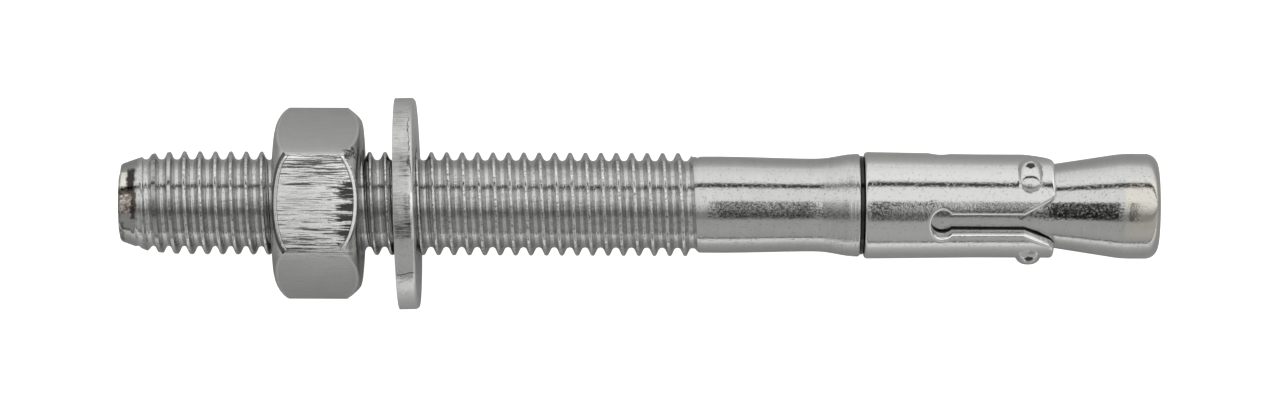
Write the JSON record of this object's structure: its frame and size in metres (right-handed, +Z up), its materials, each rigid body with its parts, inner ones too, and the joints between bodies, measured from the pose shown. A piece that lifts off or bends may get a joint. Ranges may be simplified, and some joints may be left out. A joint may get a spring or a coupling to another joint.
{
  "type": "wedge anchor",
  "caption": "Wedge anchor for concrete: a threaded bolt with a cone at its foot, an expansion clip, a washer and a hex nut.",
  "frame": {"origin": "middle of the anchor's footprint, on the surface that it lies on", "axes": "+X towards the cone, +Z up; the bolt's axis is in the XZ plane and falls by 3.78 degrees towards +X, because the anchor lies on its washer's rim and its cone's edge"},
  "size_m": [0.118, 0.024, 0.0241],
  "materials": {
    "bolt_zinc": "bright zinc plate, satin",
    "clip_zinc": "bright zinc plate, polished",
    "nut_zinc": "bright zinc plate, scratched along one flat",
    "washer_zinc": "bright zinc plate, punched rough rim"
  },
  "bodies": {
    "bolt": {"anchor_bolt": "bolt_zinc"},
    "washer": {"washer": "washer_zinc"},
    "nut": {"hex_nut": "nut_zinc"},
    "clip": {"expansion_clip": "clip_zinc"}
  },
  "joints": [
    {"name": "washer_slide", "type": "slide", "parent": "bolt", "child": "washer", "axis": [0.9978, 0, -0.0659], "range_m": [-0.01745, 0.03605]},
    {"name": "nut_spin", "type": "hinge", "parent": "washer", "child": "nut", "pos_m": [-0.03632, 0, 0.01214], "axis": [0.9978, 0, -0.0659], "range_deg": [-3589.71, 7416]},
    {"name": "clip_turn", "type": "hinge", "parent": "bolt", "child": "clip", "pos_m": [0.0361, 0, 0.00735], "axis": [0.9978, 0, -0.0659], "continuous": true}
  ],
  "couplings": [
    {"joint": "washer_slide", "follows": "nut_spin", "m_per_rad": 0.00027852}
  ]
}
